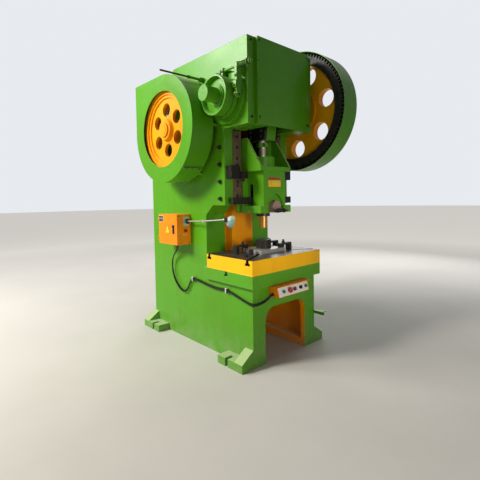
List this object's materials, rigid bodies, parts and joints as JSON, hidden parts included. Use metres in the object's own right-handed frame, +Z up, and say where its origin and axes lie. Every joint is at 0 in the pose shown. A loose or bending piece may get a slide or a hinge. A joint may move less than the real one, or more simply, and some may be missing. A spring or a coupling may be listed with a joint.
{
  "type": "mechanical stamping press",
  "caption": "Open-back mechanical stamping press: C-shaped green frame, belt-driven flywheel, geared crank, guided ram with punch, bolster with die, guards, control box and work lamp",
  "frame": {"origin": "on the floor, under the ram's axis", "axes": "+X to the machine's right with the gear, -Y to the operator, +Z up along the ram's stroke"},
  "size_m": [1.35, 1.713, 2.5209],
  "materials": {
    "frame_green": "gloss",
    "bolster_yellow": "gloss",
    "drive_orange": "gloss",
    "box_orange": "gloss",
    "bright_steel": "machined",
    "dark_steel": "oiled",
    "gib_brown": "oiled",
    "tool_black": "satin",
    "punch_brass": "machined",
    "clamp_brown": "as cast",
    "motor_grey": "painted",
    "belt_rubber": "matt",
    "lining_black": "matt",
    "lamp_teal": "satin",
    "lead_black": "matt",
    "red_plastic": "gloss",
    "dark_red_plastic": "gloss",
    "green_plastic": "gloss",
    "black_plastic": "gloss"
  },
  "bodies": {
    "frame": {"left_cheek": "frame_green", "right_cheek": "frame_green", "bed_front_plate": "frame_green", "rear_plate": "frame_green", "throat_column": "box_orange", "head_plates": "frame_green", "table_plate": "frame_green", "bolster_plate": "bolster_yellow", "foot_pads": "frame_green", "front_cover": "frame_green", "frame_screws": "dark_steel", "gib_rails": "gib_brown", "crank_bearings": "frame_green", "back_shaft_bearings": "frame_green", "belt_guard": "frame_green", "gear_guard": "frame_green", "motor": "motor_grey", "motor_bracket": "frame_green", "drive_belts": "belt_rubber", "brake_band": "frame_green", "brake_lining": "lining_black", "brake_bracket": "frame_green", "brake_spring": "dark_steel", "stop_blocks": "tool_black", "die_shoe": "bright_steel", "die_block": "dark_steel", "strap_clamps": "dark_steel", "clamp_studs": "dark_steel", "electrical_box": "box_orange", "cable_fittings": "black_plastic", "control_leads": "lead_black", "lamp_base": "lamp_teal", "panel_box": "box_orange", "lever_brackets": "frame_green"},
    "conrod": {"connecting_rod": "frame_green"},
    "ram": {"ram": "frame_green", "ball_cap": "frame_green", "shank_clamp": "clamp_brown", "punch": "punch_brass"},
    "screw": {"adjusting_screw": "bright_steel"},
    "knockout": {"knockout_bar": "tool_black"},
    "crank": {"crankshaft": "bright_steel", "brake_drum": "frame_green"},
    "gear": {"big_gear": "drive_orange"},
    "back_shaft": {"pinion_shaft": "bright_steel", "flywheel": "drive_orange"},
    "motor_rotor": {"motor_pulley": "dark_steel"},
    "door": {"box_door": "box_orange"},
    "lamp_lower": {"lamp_lower_arm": "bright_steel"},
    "lamp_upper": {"lamp_upper_arm": "bright_steel"},
    "lamp_head": {"lamp_shade": "lamp_teal"},
    "start_left": {"start_button_left": "green_plastic"},
    "start_right": {"start_button_right": "green_plastic"},
    "emergency": {"emergency_button": "red_plastic"},
    "stop": {"stop_button": "dark_red_plastic"},
    "selector": {"selector_knob": "black_plastic"},
    "box_push": {"box_button": "red_plastic"},
    "hand": {"hand_lever": "dark_steel"},
    "treadle": {"treadle_lever": "frame_green"},
    "pull": {"pull_rod": "bright_steel"}
  },
  "joints": [
    {"name": "crank_turn", "type": "hinge", "parent": "frame", "child": "crank", "pos_m": [0, 0, 2.005], "axis": [1, 0, 0], "range_deg": [-180, 0]},
    {"name": "ram_stroke", "type": "slide", "parent": "frame", "child": "conrod", "axis": [0, 0, 1], "range_m": [-0.1001, 0.0001]},
    {"name": "shut_height", "type": "slide", "parent": "conrod", "child": "ram", "axis": [0, 0, 1], "range_m": [-0.0601, 0.0151]},
    {"name": "screw_turn", "type": "hinge", "parent": "ram", "child": "screw", "pos_m": [0, 0, 1.498], "axis": [0, 0, 1], "range_deg": [-2700, 675]},
    {"name": "knockout_lift", "type": "slide", "parent": "ram", "child": "knockout", "axis": [0, 0, 1], "range_m": [0, 0.055]},
    {"name": "gear_spin", "type": "hinge", "parent": "frame", "child": "gear", "pos_m": [0, 0, 2.005], "axis": [1, 0, 0], "continuous": true},
    {"name": "back_shaft_spin", "type": "hinge", "parent": "frame", "child": "back_shaft", "pos_m": [0, 0.568, 1.8278], "axis": [1, 0, 0], "continuous": true},
    {"name": "motor_spin", "type": "hinge", "parent": "frame", "child": "motor_rotor", "pos_m": [0, 0.915, 2.15], "axis": [1, 0, 0], "continuous": true},
    {"name": "door_swing", "type": "hinge", "parent": "frame", "child": "door", "pos_m": [-0.501, 0.834, 0.989], "axis": [0, 0, 1], "range_deg": [-110, 0]},
    {"name": "lamp_swivel", "type": "hinge", "parent": "frame", "child": "lamp_lower", "pos_m": [-0.416, 0.505, 1.06], "axis": [0, 0, 1], "range_deg": [-60, 0]},
    {"name": "lamp_elbow", "type": "hinge", "parent": "lamp_lower", "child": "lamp_upper", "pos_m": [-0.44, 0.237, 1.073], "axis": [0, 0, 1], "range_deg": [-60, 0]},
    {"name": "lamp_tilt", "type": "hinge", "parent": "lamp_upper", "child": "lamp_head", "pos_m": [-0.44, -0.022, 1.094], "axis": [0.6097, 0.7926, 0], "range_deg": [-30, 30]},
    {"name": "start_left_push", "type": "slide", "parent": "frame", "child": "start_left", "axis": [0, 0.9709, -0.2394], "range_m": [0, 0.006], "stiffness_N_per_m": 300},
    {"name": "start_right_push", "type": "slide", "parent": "frame", "child": "start_right", "axis": [0, 0.9709, -0.2394], "range_m": [0, 0.006], "stiffness_N_per_m": 300},
    {"name": "emergency_push", "type": "slide", "parent": "frame", "child": "emergency", "axis": [0, 0.9709, -0.2394], "range_m": [0, 0.006]},
    {"name": "stop_push", "type": "slide", "parent": "frame", "child": "stop", "axis": [0, 0.9709, -0.2394], "range_m": [0, 0.006], "stiffness_N_per_m": 300},
    {"name": "selector_turn", "type": "hinge", "parent": "frame", "child": "selector", "pos_m": [0.068, -0.327, 0.5485], "axis": [0, -0.9709, 0.2394], "range_deg": [-45, 45]},
    {"name": "box_push_in", "type": "slide", "parent": "frame", "child": "box_push", "axis": [0, 1, 0], "range_m": [0, 0.004], "stiffness_N_per_m": 300},
    {"name": "hand_lift", "type": "hinge", "parent": "frame", "child": "hand", "pos_m": [-0.397, 0.306, 2.211], "axis": [0, 1, 0], "range_deg": [0, 20]},
    {"name": "treadle_press", "type": "hinge", "parent": "frame", "child": "treadle", "pos_m": [0.393, 0.64, 0.258], "axis": [1, 0, 0], "range_deg": [0, 6], "stiffness_Nm_per_rad": 60, "springref_deg": -28.65},
    {"name": "pull_rod_slide", "type": "slide", "parent": "frame", "child": "pull", "axis": [0, 0, 1], "range_m": [-0.0316, 0.0001]}
  ],
  "couplings": [
    {"joint": "ram_stroke", "follows": "crank_turn", "m_per_rad": 0.031831},
    {"joint": "shut_height", "follows": "screw_turn", "m_per_rad": 0.0012732},
    {"joint": "gear_spin", "follows": "back_shaft_spin", "ratio": -0.21429},
    {"joint": "motor_spin", "follows": "back_shaft_spin", "ratio": 4.483},
    {"joint": "pull_rod_slide", "follows": "treadle_press", "m_per_rad": -0.3}
  ]
}
